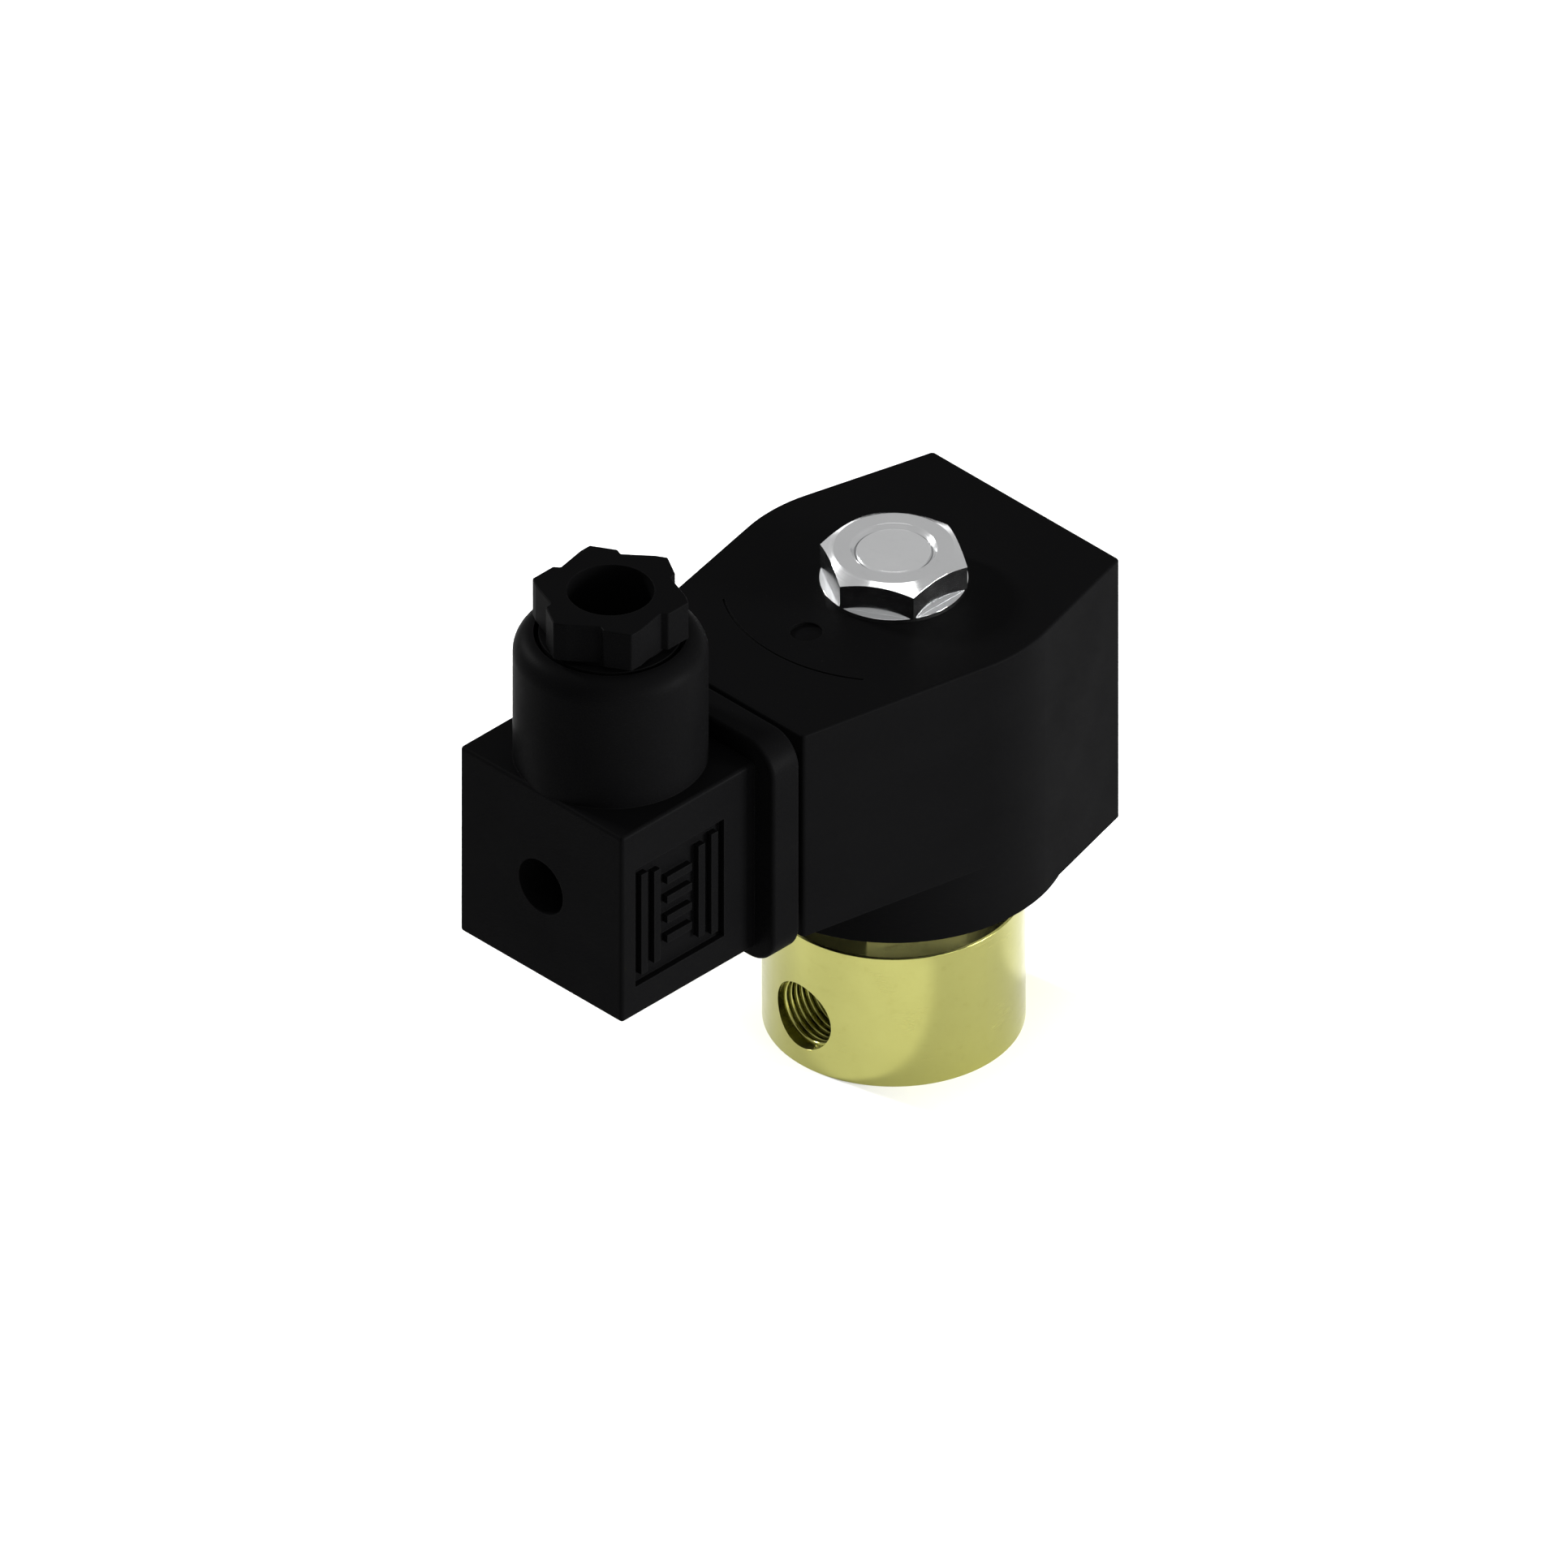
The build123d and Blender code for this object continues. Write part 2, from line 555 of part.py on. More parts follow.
# ---- terminal_block: holds the three sockets in the mouth of the housing ----
with BuildPart() as terminal_block:
    with BuildSketch(across(FLANGE_FRONT - SEAM)):
        with Locations((0, box_middle)):
            Rectangle(2 * BLOCK_HALF, box_height - 2 * (WALL + FIT))
        with Locations((0, PLUG_Z)):
            Circle(SCREW_HOLE, mode=Mode.SUBTRACT)
    extrude(amount=FLANGE_FRONT - SEAM - BLOCK_BACK)
    with BuildSketch(across(SOCKET_FRONT + SEAM)):
        contact_slots(SOCKET_W + 2 * SEAM, SOCKET_T + 2 * SEAM)
    extrude(amount=SOCKET_FRONT - BLOCK_BACK + SEAM, mode=Mode.SUBTRACT)
    with BuildSketch(across(FLANGE_FRONT - SEAM)):
        contact_slots(SLOT_W, SLOT_T)
    extrude(amount=FLANGE_FRONT - SOCKET_FRONT, mode=Mode.SUBTRACT)

# ---- terminal_sockets: three brass sockets, slotted for the blades ----
with BuildPart() as terminal_sockets:
    with BuildSketch(across(SOCKET_FRONT)):
        contact_slots(SOCKET_W, SOCKET_T)
    extrude(amount=SOCKET_FRONT - BLOCK_BACK)
    with BuildSketch(across(SOCKET_FRONT)):
        contact_slots(SLOT_W, SLOT_T)
    extrude(amount=SOCKET_FRONT - SLOT_END, mode=Mode.SUBTRACT)
    with BuildSketch(across(SLOT_END)):
        with Locations([(x, z) for x, z, turn in contact_places()]):
            Circle(SCREW_R + SEAM)
    extrude(amount=SLOT_END - BLOCK_BACK, mode=Mode.SUBTRACT)

# ---- terminal_screws: clamp the cable's wires in the sockets ----
with BuildPart() as terminal_screws:
    with BuildSketch(across(SLOT_END)):
        with Locations([(x, z) for x, z, turn in contact_places()]):
            Circle(SCREW_R)
    extrude(amount=SLOT_END - BLOCK_BACK + SEAM)
    with BuildSketch(across(BLOCK_BACK - SEAM)):
        with Locations([(x, z) for x, z, turn in contact_places()]):
            Circle(TERMINAL_HEAD_R)
    extrude(amount=TERMINAL_HEAD_H)
    with BuildSketch(across(BLOCK_BACK - SEAM - TERMINAL_HEAD_H / 2)):
        with Locations([(x, z) for x, z, turn in contact_places()]):
            Rectangle(2 * TERMINAL_HEAD_R, DRIVER_SLOT)
    extrude(amount=TERMINAL_HEAD_H, mode=Mode.SUBTRACT)

# ---- connector_gasket: flat seal between the coil and the plug ----
with BuildPart() as connector_gasket:
    with BuildSketch(across(FRONT_FACE - SEAM)):
        with Locations((0, PLUG_Z)):
            Rectangle(2 * GASKET_HALF, 2 * GASKET_HALF)
            Circle(SCREW_HOLE, mode=Mode.SUBTRACT)
        for x, z, turn in contact_places():
            with Locations((x, z)):
                Rectangle(SLOT_W, SLOT_T, rotation=turn, mode=Mode.SUBTRACT)
    extrude(amount=FRONT_FACE - FLANGE_FRONT - 2 * SEAM)

# ---- cable gland: grommet, washer and lobed nut ----
gland_axis = Plane(origin=(0, TOWER_Y, 0))

with BuildPart() as gland_grommet:
    with BuildSketch(gland_axis.offset(GLAND_SHOULDER + SEAM)):
        Circle(GLAND_BORE - FIT)
        Circle(CABLE_R, mode=Mode.SUBTRACT)
    extrude(amount=GROMMET_TOP - GLAND_SHOULDER - SEAM)

with BuildPart() as gland_washer:
    with BuildSketch(gland_axis.offset(GROMMET_TOP + SEAM)):
        Circle(GLAND_BORE - SLIDE)
        Circle(GLAND_WASHER_BORE, mode=Mode.SUBTRACT)
    extrude(amount=GLAND_WASHER_T)

with BuildPart() as gland_nut:
    shank_bottom = GROMMET_TOP + GLAND_WASHER_T + 2 * SEAM
    with BuildSketch(gland_axis.offset(GLAND_NUT_BOTTOM)) as grip:
        RegularPolygon(GLAND_FLAT, 6, major_radius=False, rotation=30)
        with PolarLocations(0, 6):
            Polygon(
                (GLAND_FLAT, GRIP_START),
                (GLAND_FLAT - GRIP_DEPTH, GRIP_LOWEST),
                (GLAND_FLAT, GRIP_END),
                (GLAND_FLAT + LAP, GRIP_END),
                (GLAND_FLAT + LAP, GRIP_START),
                align=None,
                mode=Mode.SUBTRACT,
            )
        fillet(grip.vertices(), GRIP_ROUND)
    extrude(amount=GLAND_NUT_TOP - GLAND_NUT_BOTTOM)
    fillet(gland_nut.faces().sort_by(Axis.Z)[-1].edges(), GLAND_NUT_EDGE)
    with BuildSketch(gland_axis.offset(shank_bottom)):
        Circle(GLAND_SHANK_R)
    extrude(amount=TOWER_TOP - shank_bottom)
    with BuildSketch(gland_axis.offset(TOWER_TOP)):
        Circle(GLAND_NECK_R)
    extrude(amount=GLAND_NUT_BOTTOM - TOWER_TOP)
    with BuildSketch(gland_axis.offset(shank_bottom)):
        Circle(GLAND_HOLE)
    extrude(amount=GLAND_NUT_TOP - shank_bottom, mode=Mode.SUBTRACT)

# ---- screw_seal: rubber ring under the fixing screw's head ----
recess_floor = BOX_END + RECESS_DEPTH
with BuildPart() as screw_seal:
    with BuildSketch(across(recess_floor - SEAM)):
        with Locations((0, PLUG_Z)):
            Circle(HEAD_R)
            Circle(SCREW_R + FIT, mode=Mode.SUBTRACT)
    extrude(amount=SCREW_SEAL_T)

# ---- fixing_screw: long M3 screw with a slotted head ----
with BuildPart() as fixing_screw:
    head_face = recess_floor - SCREW_SEAL_T - 2 * SEAM
    with BuildSketch(across(head_face)):
        with Locations((0, PLUG_Z)):
            Circle(HEAD_R)
    extrude(amount=HEAD_H)
    with BuildSketch(across(SCREW_TIP)):
        with Locations((0, PLUG_Z)):
            Circle(SCREW_ROOT_R)
    extrude(amount=SCREW_THREAD)
    with BuildSketch(across(SCREW_TIP - SCREW_THREAD)):
        with Locations((0, PLUG_Z)):
            Circle(SCREW_R)
    extrude(amount=SCREW_TIP - SCREW_THREAD - head_face)
    with BuildSketch(across(head_face - HEAD_H / 2)):
        with Locations((0, PLUG_Z)):
            Rectangle(2 * HEAD_R, SLOT_T)
    extrude(amount=HEAD_H, mode=Mode.SUBTRACT)

# ---- one STEP file for each piece ----
pieces = {
    "valve_body": valve_body,
    "armature_tube": armature_tube,
    "fixed_core": fixed_core,
    "shading_ring": shading_ring,
    "tube_o_ring": tube_o_ring,
    "coil_lower_seal": coil_lower_seal,
    "plunger": plunger,
    "plunger_seal": plunger_seal,
    "plunger_spring": plunger_spring,
    "coil_housing": coil_housing,
    "yoke_frame": yoke_frame,
    "coil_bobbin": coil_bobbin,
    "coil_winding": coil_winding,
    "winding_tape": winding_tape,
    "power_blades": power_blades,
    "earth_blade": earth_blade,
    "screw_insert": screw_insert,
    "coil_washer": coil_washer,
    "coil_nut": coil_nut,
    "connector_housing": connector_housing,
    "terminal_block": terminal_block,
    "terminal_sockets": terminal_sockets,
    "terminal_screws": terminal_screws,
    "connector_gasket": connector_gasket,
    "gland_grommet": gland_grommet,
    "gland_washer": gland_washer,
    "gland_nut": gland_nut,
    "screw_seal": screw_seal,
    "fixing_screw": fixing_screw,
}
os.makedirs("parts", exist_ok=True)
for name, piece in pieces.items():
    piece.part.label = name
    export_step(piece.part, f"parts/{name}.step")
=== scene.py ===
import json
from math import cos, pi, radians, sin

import bmesh
import bpy
from mathutils import Matrix, Vector


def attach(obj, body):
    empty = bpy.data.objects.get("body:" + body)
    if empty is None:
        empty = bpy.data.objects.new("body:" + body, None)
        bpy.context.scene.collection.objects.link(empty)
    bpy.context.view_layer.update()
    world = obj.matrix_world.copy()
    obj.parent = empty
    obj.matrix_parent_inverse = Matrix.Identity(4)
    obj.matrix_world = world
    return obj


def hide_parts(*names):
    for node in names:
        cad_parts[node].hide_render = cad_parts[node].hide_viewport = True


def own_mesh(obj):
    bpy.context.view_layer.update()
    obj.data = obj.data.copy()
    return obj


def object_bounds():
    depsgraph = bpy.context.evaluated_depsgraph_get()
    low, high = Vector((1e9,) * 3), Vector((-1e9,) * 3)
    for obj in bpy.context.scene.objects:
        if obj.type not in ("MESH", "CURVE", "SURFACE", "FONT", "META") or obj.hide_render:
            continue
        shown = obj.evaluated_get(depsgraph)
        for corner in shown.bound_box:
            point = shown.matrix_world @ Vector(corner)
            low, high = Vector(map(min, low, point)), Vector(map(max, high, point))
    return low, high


# A small solenoid valve: brass body, moulded coil, plug connector. Metres, in the CAD frame:
# +Z up the valve's axis, ports along Y, connector on the -Y side.

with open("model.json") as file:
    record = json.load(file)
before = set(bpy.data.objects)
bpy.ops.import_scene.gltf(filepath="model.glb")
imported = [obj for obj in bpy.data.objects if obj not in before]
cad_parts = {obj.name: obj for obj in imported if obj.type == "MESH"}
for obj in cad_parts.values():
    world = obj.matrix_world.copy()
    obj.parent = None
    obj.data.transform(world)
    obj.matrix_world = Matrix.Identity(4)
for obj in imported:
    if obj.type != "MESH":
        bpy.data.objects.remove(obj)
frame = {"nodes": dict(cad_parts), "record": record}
cad_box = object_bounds()
nodes = frame["nodes"]

MM = 0.001


# ---------------------------------------------------------------- material helpers

EDGE_RAYS = 6                      # samples of each look at the edges near a point
EDGE_FLAT = 0.995                  # cosine between the true and the rounded normal, on a face
EDGE_SHARP = 0.80                  # and on a sharp edge


class Shader:
    """A node material with one Principled BSDF, built up by the calls below."""

    def __init__(self, name):
        self.material = bpy.data.materials.new(name)
        self.material.use_nodes = True
        self.tree = self.material.node_tree
        self.bsdf = self.tree.nodes["Principled BSDF"]
        self.coords = self.node("ShaderNodeTexCoord").outputs["Object"]

    def node(self, kind, **settings):
        made = self.tree.nodes.new(kind)
        for key, value in settings.items():
            setattr(made, key, value)
        return made

    def link(self, source, target):
        self.tree.links.new(source, target)

    def set(self, **values):
        """Constant values, set on the shader's own sockets. Underscores stand for spaces."""
        for key, value in values.items():
            self.bsdf.inputs[key.replace("_", " ")].default_value = value

    def stretched(self, scale):
        """Object coordinates multiplied by scale, one number for each axis."""
        mapping = self.node("ShaderNodeMapping")
        mapping.inputs["Scale"].default_value = scale
        self.link(self.coords, mapping.inputs["Vector"])
        return mapping.outputs["Vector"]

    def noise(self, size, detail=3.0, rough=0.5, stretch=(1, 1, 1)):
        """Noise from 0 to 1 whose blotches are about size metres across."""
        texture = self.node("ShaderNodeTexNoise")
        texture.inputs["Scale"].default_value = 1 / size
        texture.inputs["Detail"].default_value = detail
        texture.inputs["Roughness"].default_value = rough
        self.link(self.stretched(stretch), texture.inputs["Vector"])
        return texture.outputs["Fac"]

    def rounded_normal(self, radius):
        """The surface normal as if every edge were rounded to radius."""
        bevel = self.node("ShaderNodeBevel", samples=EDGE_RAYS)
        bevel.inputs["Radius"].default_value = radius
        return bevel.outputs["Normal"]

    def edges(self, radius):
        """1 on the edges of the shape, within about radius, and 0 on its faces."""
        geometry = self.node("ShaderNodeNewGeometry")
        dot = self.node("ShaderNodeVectorMath", operation="DOT_PRODUCT")
        self.link(self.rounded_normal(radius), dot.inputs[0])
        self.link(geometry.outputs["Normal"], dot.inputs[1])
        return self.remap(dot.outputs["Value"], EDGE_FLAT, EDGE_SHARP, 0.0, 1.0)

    def remap(self, value, from_low, from_high, to_low, to_high):
        """Carries value, clamped, from one range to another."""
        node = self.node("ShaderNodeMapRange")
        names = ("From Min", "From Max", "To Min", "To Max")
        for key, number in zip(names, (from_low, from_high, to_low, to_high)):
            node.inputs[key].default_value = number
        self.link(value, node.inputs["Value"])
        return node.outputs["Result"]

    def math(self, operation, first, second):
        """A math node on two values, each a number or a socket."""
        node = self.node("ShaderNodeMath", operation=operation)
        for socket, value in zip(node.inputs, (first, second)):
            if isinstance(value, (int, float)):
                socket.default_value = value
            else:
                self.link(value, socket)
        return node.outputs["Value"]

    def mix(self, factor, first, second):
        """Mixes two colours, each an RGB triple or a socket."""
        node = self.node("ShaderNodeMix", data_type="RGBA")
        self.link(factor, node.inputs["Factor"])
        for socket, value in zip((node.inputs[6], node.inputs[7]), (first, second)):
            if isinstance(value, tuple):
                socket.default_value = (*value, 1.0)
            else:
                self.link(value, socket)
        return node.outputs[2]

    def colour(self, value):
        self.link(value, self.bsdf.inputs["Base Color"])

    def roughness(self, value):
        self.link(value, self.bsdf.inputs["Roughness"])

    def bump(self, *layers, soften=0.0):
        """Bump from (height socket, depth in metres) layers, over edges softened by a radius."""
        normal = self.rounded_normal(soften) if soften else None
        for height, depth in layers:
            node = self.node("ShaderNodeBump")
            node.inputs["Strength"].default_value = 1.0
            node.inputs["Distance"].default_value = depth
            self.link(height, node.inputs["Height"])
            if normal:
                self.link(normal, node.inputs["Normal"])
            normal = node.outputs["Normal"]
        self.link(normal, self.bsdf.inputs["Normal"])


# ---------------------------------------------------------------- plastics and rubber

def moulded_plastic(name, dark, light, worn, rough, grain=0.35 * MM, specular=0.005):
    """Moulding: spark-eroded grain, faint flow marks, rubbed edges."""
    shader = Shader(name)
    shader.set(Specular_IOR_Level=specular, IOR=1.5)
    flow = shader.noise(14 * MM, detail=2, stretch=(1, 1, 2.5))
    rubbed = shader.math("MULTIPLY", shader.edges(0.25 * MM), shader.noise(2.5 * MM, detail=5))
    shader.colour(shader.mix(rubbed, shader.mix(flow, dark, light), worn))
    smudge = shader.noise(9 * MM, detail=5, rough=0.65)
    finish = shader.remap(smudge, 0.3, 0.7, rough - 0.07, rough + 0.07)
    shader.roughness(shader.math("SUBTRACT", finish, shader.math("MULTIPLY", rubbed, 0.12)))
    speckle = shader.noise(grain, detail=4, rough=0.6)
    waves = shader.noise(6 * MM)
    shader.bump((speckle, 0.010 * MM), (waves, 0.012 * MM), soften=0.09 * MM)
    return shader.material


def rubber(name, colour, rough=0.7):
    """Moulded rubber: dull, with a chalky bloom and a soft skin."""
    shader = Shader(name)
    shader.set(Specular_IOR_Level=0.2)
    bloom = shader.noise(3 * MM, detail=6, rough=0.7)
    chalk = tuple(c * 2.2 + 0.004 for c in colour)
    shader.colour(shader.mix(shader.remap(bloom, 0.45, 0.75, 0.0, 0.5), colour, chalk))
    shader.roughness(shader.remap(bloom, 0.2, 0.8, rough - 0.08, rough + 0.12))
    shader.bump((shader.noise(0.15 * MM, detail=3), 0.006 * MM), soften=0.1 * MM)
    return shader.material


def tape_film(name):
    """Thin yellow film tape with overlapping wraps."""
    shader = Shader(name)
    shader.set(Specular_IOR_Level=0.5, Coat_Weight=0.3)
    wraps = shader.noise(1.6 * MM, detail=1, stretch=(0.15, 0.15, 1))
    shader.colour(shader.mix(wraps, (0.62, 0.42, 0.05), (0.80, 0.60, 0.12)))
    shader.roughness(shader.remap(wraps, 0, 1, 0.2, 0.4))
    shader.bump((wraps, 0.02 * MM))
    return shader.material


# ---------------------------------------------------------------- metals

GROOVE = 0.12 * MM                 # width of the rings that turning leaves
COARSE = 0.0035 * MM               # their depth on plain parts
FINE = 0.0006 * MM                 # and on bright ones
ALONG_RING = 0.02                  # how little the grooves change along themselves
WIRE_WIDTH = 0.16 * MM


def turned_metal(name, bright, dull, rough, depth=COARSE, axis=2):
    """Metal with the fine rings that turning leaves, faint tarnish and polished edges."""
    shader = Shader(name)
    shader.set(Metallic=1.0)
    stretch = [ALONG_RING, ALONG_RING, ALONG_RING]
    stretch[axis] = 1.0
    rings = shader.noise(GROOVE, detail=3, rough=0.7, stretch=tuple(stretch))
    tarnish = shader.noise(7 * MM, detail=6, rough=0.6)
    spots = shader.remap(shader.noise(1.1 * MM, detail=4), 0.58, 0.75, 0.0, 0.6)
    patina = shader.math("ADD", shader.remap(tarnish, 0.35, 0.7, 0.0, 0.7), spots)
    edge = shader.edges(0.2 * MM)
    polished = tuple(min(1, c * 1.15) for c in bright)
    shine = shader.math("MULTIPLY", edge, 0.6)
    shader.colour(shader.mix(shine, shader.mix(patina, bright, dull), polished))
    finish = shader.remap(tarnish, 0.3, 0.7, rough - 0.05, rough + 0.08)
    finish = shader.math("ADD", finish, shader.remap(rings, 0.3, 0.7, -0.04, 0.05))
    shader.roughness(shader.math("SUBTRACT", finish, shader.math("MULTIPLY", edge, 0.08)))
    dents = shader.noise(0.5 * MM, detail=4)
    shader.bump((rings, depth), (dents, 0.0015 * MM), soften=0.05 * MM)
    return shader.material


def wound_copper(name):
    """Layers of enamelled wire, as rings about one wire's width apart up the spool, with painted shade in
    the grooves between the turns.
    """
    shader = Shader(name)
    shader.set(Metallic=0.85, Coat_Weight=0.5, Coat_Roughness=0.15)
    wave = shader.node("ShaderNodeTexWave", wave_type="BANDS", bands_direction="Z", wave_profile="SIN")
    wave.inputs["Scale"].default_value = 1 / (pi * WIRE_WIDTH)
    shader.link(shader.coords, wave.inputs["Vector"])
    turns = wave.outputs["Fac"]
    shade = shader.noise(2 * MM, detail=3, stretch=(0.1, 0.1, 1))
    lacquer = shader.mix(shade, (0.42, 0.16, 0.06), (0.62, 0.27, 0.11))
    # Painted shade: the colour falls to a deep brown in the grooves between wire turns, where the bump
    # sinks.
    shader.colour(shader.mix(turns, (0.12, 0.035, 0.012), lacquer))
    shader.roughness(shader.remap(turns, 0, 1, 0.45, 0.25))
    shader.bump((turns, 0.04 * MM))
    return shader.material


# ---------------------------------------------------------------- materials

MATERIALS = {
    "brass_body": turned_metal(
        "brass", bright=(0.355, 0.348, 0.114), dull=(0.325, 0.317, 0.100), rough=0.19, depth=FINE,
    ),
    "plated_steel": turned_metal(
        "bright_plate", bright=(0.64, 0.645, 0.65), dull=(0.60, 0.605, 0.61), rough=0.15, depth=FINE,
    ),
    "core_steel": turned_metal(
        "core_steel", bright=(0.70, 0.705, 0.71), dull=(0.66, 0.665, 0.67), rough=0.18, depth=FINE,
    ),
    "stainless": turned_metal(
        "stainless", bright=(0.62, 0.61, 0.60), dull=(0.50, 0.49, 0.48), rough=0.30,
    ),
    "copper": turned_metal(
        "copper", bright=(0.78, 0.36, 0.20), dull=(0.52, 0.22, 0.12), rough=0.28,
    ),
    "contact_metal": turned_metal(
        "tinned_brass", bright=(0.70, 0.69, 0.66), dull=(0.58, 0.56, 0.50), rough=0.30, axis=1,
    ),
    "contact_brass": turned_metal(
        "socket_brass", bright=(0.80, 0.64, 0.30), dull=(0.66, 0.50, 0.22), rough=0.26, axis=1,
    ),
    "winding_copper": wound_copper("winding"),
    "tape": tape_film("tape_film"),
    "coil_plastic": moulded_plastic(
        "coil_moulding", dark=(0.0017, 0.0017, 0.0018), light=(0.0022, 0.0022, 0.0023),
        worn=(0.004, 0.004, 0.004), rough=0.50,
    ),
    "plug_plastic": moulded_plastic(
        "plug_moulding", dark=(0.0016, 0.0016, 0.0017), light=(0.0021, 0.0021, 0.0022),
        worn=(0.005, 0.005, 0.005), rough=0.46, grain=0.28 * MM,
    ),
    "insert_plastic": moulded_plastic(
        "insert_moulding", dark=(0.020, 0.020, 0.021), light=(0.030, 0.030, 0.032),
        worn=(0.06, 0.06, 0.062), rough=0.40, specular=0.3,
    ),
    "bobbin_plastic": moulded_plastic(
        "bobbin_moulding", dark=(0.55, 0.50, 0.38), light=(0.62, 0.58, 0.47),
        worn=(0.75, 0.72, 0.62), rough=0.45, specular=0.4,
    ),
    "rubber_black": rubber("black_rubber", (0.012, 0.012, 0.012)),
    "rubber_seat": rubber("seat_rubber", (0.035, 0.035, 0.04), rough=0.6),
}

for entry in frame["record"]["subparts"]:
    surface = nodes[entry["node"]].data.materials
    surface.clear()
    surface.append(MATERIALS[entry["material_slot"]])


# ---------------------------------------------------------------- mesh helpers

def mesh_object(name, make, slot_name, body):
    """A new smooth piece whose mesh make(bm) builds, with its material, slot and body."""
    bm = bmesh.new()
    make(bm)
    bmesh.ops.recalc_face_normals(bm, faces=bm.faces)
    mesh = bpy.data.meshes.new(name)
    bm.to_mesh(mesh)
    bm.free()
    mesh.shade_smooth()
    mesh.materials.append(MATERIALS[slot_name])
    piece = bpy.data.objects.new(name, mesh)
    bpy.context.scene.collection.objects.link(piece)
    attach(piece, body)
    return piece


def sweep_rings(bm, rings):
    """Joins equal closed rings of points into a tube with flat ends."""
    loops = [[bm.verts.new(point) for point in ring] for ring in rings]
    count = len(loops[0])
    for first, second in zip(loops, loops[1:]):
        for i in range(count):
            j = (i + 1) % count
            bm.faces.new((first[i], first[j], second[j], second[i]))
    bm.faces.new(list(reversed(loops[0])))
    bm.faces.new(loops[-1])


# ---------------------------------------------------------------- threads

RIDGE_BITE = 0.04 * MM             # how far a ridge's foot is sunk into its wall
RIDGE_FOOT = 0.44                  # half the ridge's width at its foot, in pitches
RIDGE_FLAT = 0.07                  # and at its crest
RUN_OUT = 0.6                      # turns over which the ridge grows and fades
LEAST_RIDGE = 0.02                 # share of the full height left at its two ends


def thread(name, slot_name, body, start, axis, root, crest, pitch, length, steps=72):
    """A helical ridge from radius root to radius crest round the line from start along axis."""
    turn = Vector(axis).to_track_quat("Z", "Y").to_matrix().to_4x4()
    place = Matrix.Translation(start) @ turn
    foot = root - RIDGE_BITE if crest > root else root + RIDGE_BITE
    turns = length / pitch - 1

    def make(bm):
        rings = []
        for i in range(int(turns * steps) + 1):
            turned = i / steps
            grown = min(1.0, turned / RUN_OUT, (turns - turned) / RUN_OUT)
            peak = root + (crest - root) * max(LEAST_RIDGE, grown)
            height = pitch * (turned + 0.5)
            angle = 2 * pi * turned
            section = (
                (foot, -RIDGE_FOOT * pitch),
                (peak, -RIDGE_FLAT * pitch),
                (peak, RIDGE_FLAT * pitch),
                (foot, RIDGE_FOOT * pitch),
            )
            rings.append([place @ Vector((r * cos(angle), r * sin(angle), height + z)) for r, z in section])
        sweep_rings(bm, rings)

    mesh_object(name, make, slot_name, body)


PORT_Z = 7.2 * MM
PORT_MOUTH = 15.3 * MM             # distance of the mouth from the valve's axis
PORT_WALL = 4.57 * MM
PORT_CREST = 4.28 * MM
PORT_PITCH = 0.907 * MM
PORT_THREAD = 7.6 * MM

for side, name in ((-1, "inlet_thread"), (1, "outlet_thread")):
    thread(
        name, "brass_body", "valve", start=(0, side * PORT_MOUTH, PORT_Z), axis=(0, -side, 0),
        root=PORT_WALL, crest=PORT_CREST, pitch=PORT_PITCH, length=PORT_THREAD,
    )

TOWER_Y = -48.55 * MM
SHANK_BOTTOM = 73.3 * MM
SHANK_ROOT = 8.75 * MM
SHANK_CREST = 9.25 * MM
SHANK_PITCH = 1.41 * MM
SHANK_THREAD = 7.2 * MM

thread(
    "gland_thread", "plug_plastic", "gland_nut", start=(0, TOWER_Y, SHANK_BOTTOM), axis=(0, 0, 1),
    root=SHANK_ROOT, crest=SHANK_CREST, pitch=SHANK_PITCH, length=SHANK_THREAD,
)

SCREW_Z = 48.6 * MM
SCREW_START = -25.95 * MM          # just behind the screw's tip
SCREW_ROOT = 1.25 * MM
SCREW_CREST = 1.48 * MM
SCREW_PITCH = 0.5 * MM
SCREW_THREAD = 8.9 * MM

thread(
    "screw_thread", "plated_steel", "fixing_screw", start=(0, SCREW_START, SCREW_Z), axis=(0, -1, 0),
    root=SCREW_ROOT, crest=SCREW_CREST, pitch=SCREW_PITCH, length=SCREW_THREAD, steps=40,
)


# ---------------------------------------------------------------- closing spring

SPRING_MEAN = 2.1 * MM
SPRING_WIRE = 0.3 * MM
SPRING_TURNS = 9
SPRING_LOW = 30.22 * MM            # where its ends stand at rest: in the plunger's pocket and on the core
SPRING_HIGH = 43.98 * MM


def closing_spring(steps=36, sides=12):
    """The plunger's spring, swept at its rest length and carried with the plunger; nothing here shortens it
    as the plunger lifts towards the core.
    """
    rise = SPRING_HIGH - SPRING_LOW - 2 * SPRING_WIRE

    def make(bm):
        rings = []
        for i in range(SPRING_TURNS * steps + 1):
            share = i / (SPRING_TURNS * steps)
            angle = 2 * pi * SPRING_TURNS * share
            height = SPRING_LOW + SPRING_WIRE + rise * share
            ring = []
            for k in range(sides):
                turn = 2 * pi * k / sides
                r = SPRING_MEAN + SPRING_WIRE * cos(turn)
                ring.append(Vector((r * cos(angle), r * sin(angle), height + SPRING_WIRE * sin(turn))))
            rings.append(ring)
        sweep_rings(bm, rings)

    piece = mesh_object("closing_spring", make, "stainless", "plunger")
    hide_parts("plunger_spring")
    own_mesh(piece)


closing_spring()


# ---------------------------------------------------------------- stage, lights and camera

FLOOR_REACH = 3.0
LIGHT_DISTANCE = 0.9
WHITE = (1, 1, 1, 1)
VIEW_WIDTH = 190.06 * MM
VIEW_RIGHT = -13.305 * MM          # the view's middle, from the frame's origin
VIEW_UP = 27.457 * MM
VIEW_BACK = 1.0


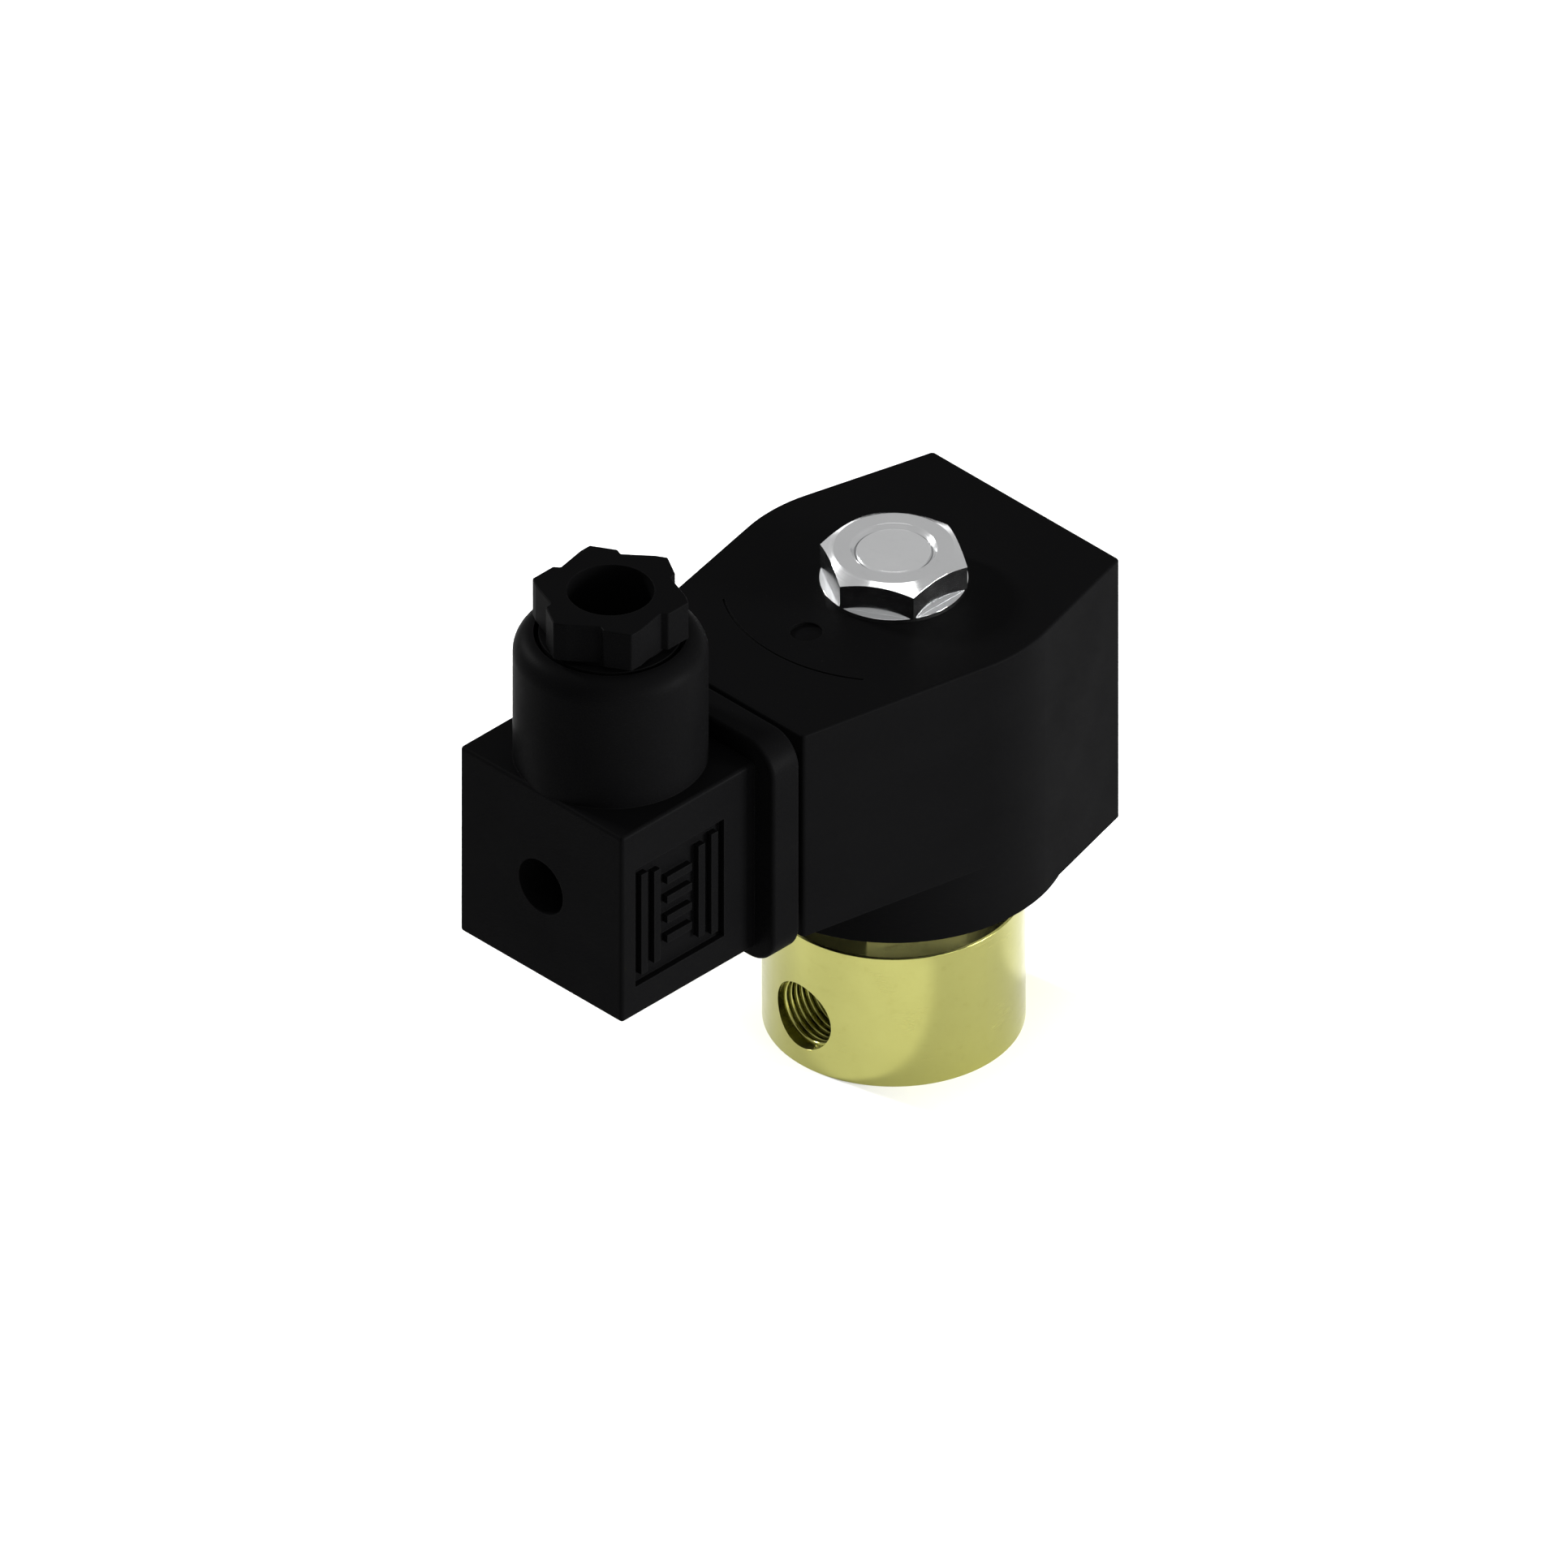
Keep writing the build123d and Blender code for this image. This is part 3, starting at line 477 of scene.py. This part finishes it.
def floor():
    """A wide, pale, matt sheet under the base face."""
    shader = Shader("pale_floor")
    shader.set(Specular_IOR_Level=0.1)
    shader.colour(shader.mix(shader.noise(0.08, detail=2), (0.86, 0.86, 0.86), (0.88, 0.88, 0.88)))
    shader.roughness(shader.remap(shader.noise(0.02), 0, 1, 0.75, 0.85))
    low = cad_box[0][2]
    corners = [(-FLOOR_REACH, -FLOOR_REACH), (FLOOR_REACH, -FLOOR_REACH),
               (FLOOR_REACH, FLOOR_REACH), (-FLOOR_REACH, FLOOR_REACH)]
    mesh = bpy.data.meshes.new("floor")
    mesh.from_pydata([(x, y, low) for x, y in corners], [], [(0, 1, 2, 3)])
    mesh.materials.append(shader.material)
    sheet = bpy.data.objects.new("floor", mesh)
    bpy.context.scene.collection.objects.link(sheet)


def soft_light(name, azimuth, elevation, size, power):
    """A square area light that looks at the object's middle. Azimuth 0 is -Y, and 90 is +X."""
    target = (Vector(cad_box[0]) + Vector(cad_box[1])) / 2
    a, e = radians(azimuth), radians(elevation)
    direction = Vector((sin(a) * cos(e), -cos(a) * cos(e), sin(e)))
    data = bpy.data.lights.new(name, "AREA")
    data.size = size
    data.energy = power
    lamp = bpy.data.objects.new(name, data)
    lamp.location = target + direction * LIGHT_DISTANCE
    lamp.rotation_euler = direction.to_track_quat("Z", "Y").to_euler()
    bpy.context.scene.collection.objects.link(lamp)


def world_light(horizon, zenith):
    """White surroundings whose strength changes from the horizon to the zenith."""
    world = bpy.data.worlds.new("studio")
    world.use_nodes = True
    tree = world.node_tree
    direction = tree.nodes.new("ShaderNodeTexCoord").outputs["Generated"]
    split = tree.nodes.new("ShaderNodeSeparateXYZ")
    tree.links.new(direction, split.inputs["Vector"])
    climb = tree.nodes.new("ShaderNodeMapRange")
    for key, number in zip(("From Min", "From Max", "To Min", "To Max"), (0, 1, horizon, zenith)):
        climb.inputs[key].default_value = number
    tree.links.new(split.outputs["Z"], climb.inputs["Value"])
    background = tree.nodes["Background"]
    background.inputs["Color"].default_value = WHITE
    tree.links.new(climb.outputs["Result"], background.inputs["Strength"])
    bpy.context.scene.world = world


def camera():
    """Orthographic, along the cube diagonal from the +X, -Y, +Z side."""
    back = Vector((1, -1, 1)).normalized()
    right = Vector((1, 1, 0)).normalized()
    up = back.cross(right)
    data = bpy.data.cameras.new("camera")
    data.type = "ORTHO"
    data.ortho_scale = VIEW_WIDTH
    data.clip_end = 10
    place = Matrix.Translation(right * VIEW_RIGHT + up * VIEW_UP + back * VIEW_BACK)
    made = bpy.data.objects.new("camera", data)
    made.matrix_world = place @ Matrix((right, up, back)).transposed().to_4x4()
    bpy.context.scene.collection.objects.link(made)
    bpy.context.scene.camera = made


floor()
world_light(horizon=0.65, zenith=0.60)
soft_light("key", azimuth=120, elevation=8, size=0.3, power=21)
soft_light("fill", azimuth=90, elevation=12, size=0.3, power=3)
soft_light("side", azimuth=-80, elevation=28, size=0.12, power=12)
soft_light("top", azimuth=45, elevation=85, size=0.6, power=3)
camera()
bpy.context.scene.view_settings.view_transform = "Standard"
